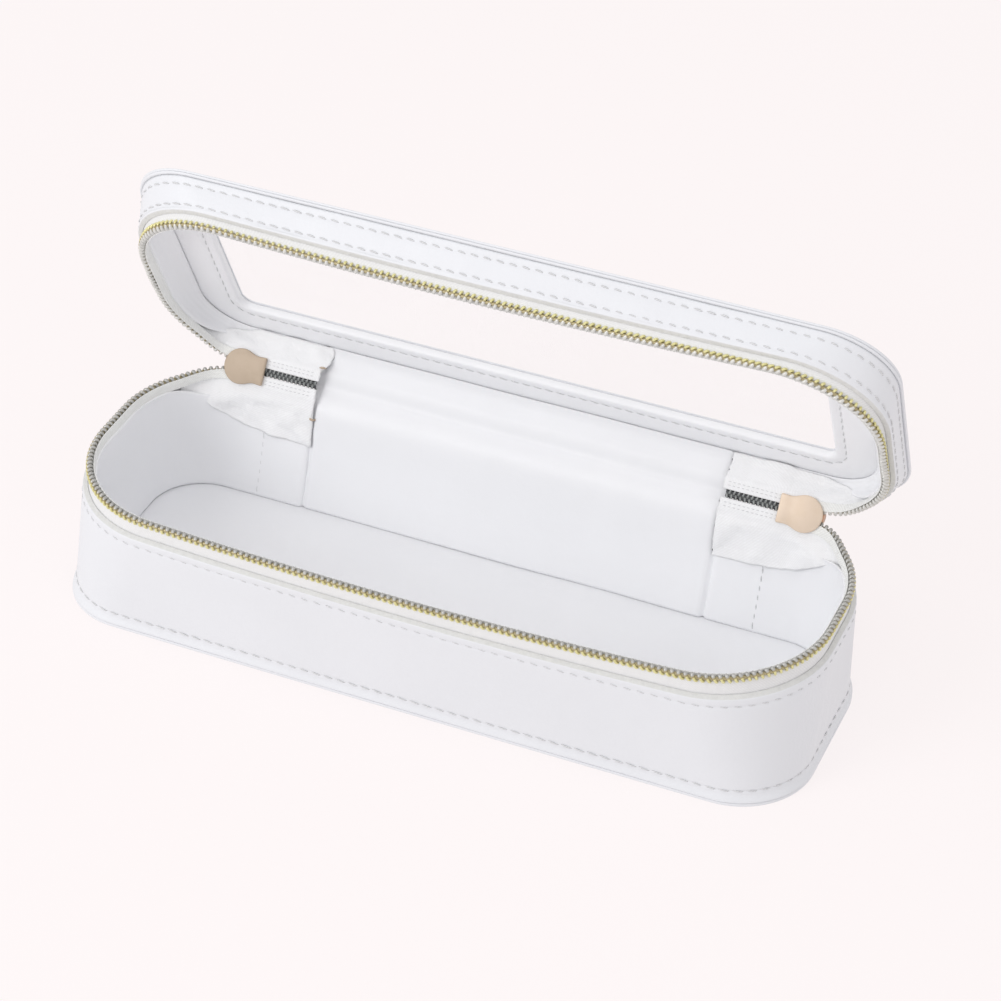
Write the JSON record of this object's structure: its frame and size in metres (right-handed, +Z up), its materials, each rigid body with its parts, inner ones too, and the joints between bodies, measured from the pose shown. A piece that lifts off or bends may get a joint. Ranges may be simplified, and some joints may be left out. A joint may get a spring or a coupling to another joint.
{
  "type": "jewelry box",
  "caption": "Oblong soft-walled jewelry box with rounded corners, an open zipped lid with a clear window, two sliders with pulls, and an empty lined inside.",
  "frame": {"origin": "centre of the bottom's resting face", "axes": "+X along the long side to the viewer's right, the front faces -Y, the lid is hinged on the +Y side, +Z up"},
  "size_m": [0.2148, 0.0916, 0.1133],
  "materials": {
    "outer_leather": "fine-grained white synthetic leather",
    "lining": "smooth white lining",
    "board": "grey fibre board, hidden",
    "foam": "thin foam, hidden",
    "zip_tape": "woven white tape",
    "zip_coil": "metallised gold coil, silver-grey inside",
    "thread": "white sewing thread",
    "window_sheet": "clear flexible sheet",
    "tan_metal": "matte tan",
    "rose_metal": "pale rose gold"
  },
  "bodies": {
    "base": {"bottom_leather": "outer_leather", "bottom_board": "board", "bottom_pad": "foam", "bottom_lining": "lining", "base_wall_board": "board", "base_wall_leather": "outer_leather", "base_wall_lining": "lining", "base_zip_tape": "zip_tape", "base_zip_coil": "zip_coil", "base_rim_thread": "thread", "base_foot_thread": "thread", "hinge_leather_base": "outer_leather", "hinge_lining_base": "lining"},
    "lid": {"lid_band_board": "board", "lid_band_leather": "outer_leather", "lid_band_lining": "lining", "lid_frame_board": "board", "lid_frame_leather": "outer_leather", "lid_frame_lining": "lining", "window": "window_sheet", "lid_piping": "outer_leather", "lid_zip_tape": "zip_tape", "lid_zip_coil": "zip_coil", "lid_rim_thread": "thread", "lid_top_thread": "thread", "window_thread": "thread", "hinge_leather_lid": "outer_leather", "hinge_lining_lid": "lining"},
    "hinge_chain": {"hinge_fold": "lining", "chain_left": "zip_coil", "chain_right": "zip_coil"},
    "left_slider": {"left_slider": "tan_metal"},
    "right_slider": {"right_slider": "rose_metal"},
    "left_pull": {"left_pull": "tan_metal"},
    "right_pull": {"right_pull": "rose_metal"}
  },
  "joints": [
    {"name": "lid_hinge", "type": "hinge", "parent": "base", "child": "lid", "pos_m": [0, 0.04035, 0.039], "axis": [-1, 0, 0], "range_deg": [-64, 30]},
    {"name": "chain_tilt", "type": "hinge", "parent": "base", "child": "hinge_chain", "pos_m": [0, 0.04035, 0.039], "axis": [-1, 0, 0], "range_deg": [-32, 15]},
    {"name": "left_slide", "type": "slide", "parent": "hinge_chain", "child": "left_slider", "axis": [-1, 0, 0], "range_m": [-0.01, 0.003]},
    {"name": "right_slide", "type": "slide", "parent": "hinge_chain", "child": "right_slider", "axis": [1, 0, 0], "range_m": [-0.01, 0.003]},
    {"name": "left_pull_swing", "type": "hinge", "parent": "left_slider", "child": "left_pull", "pos_m": [-0.0817, 0.04434, 0.03651], "axis": [1, 0, 0], "range_deg": [-10, 80]},
    {"name": "right_pull_swing", "type": "hinge", "parent": "right_slider", "child": "right_pull", "pos_m": [0.0817, 0.04434, 0.03651], "axis": [1, 0, 0], "range_deg": [-10, 80]}
  ],
  "couplings": [
    {"joint": "chain_tilt", "follows": "lid_hinge", "ratio": 0.5}
  ]
}
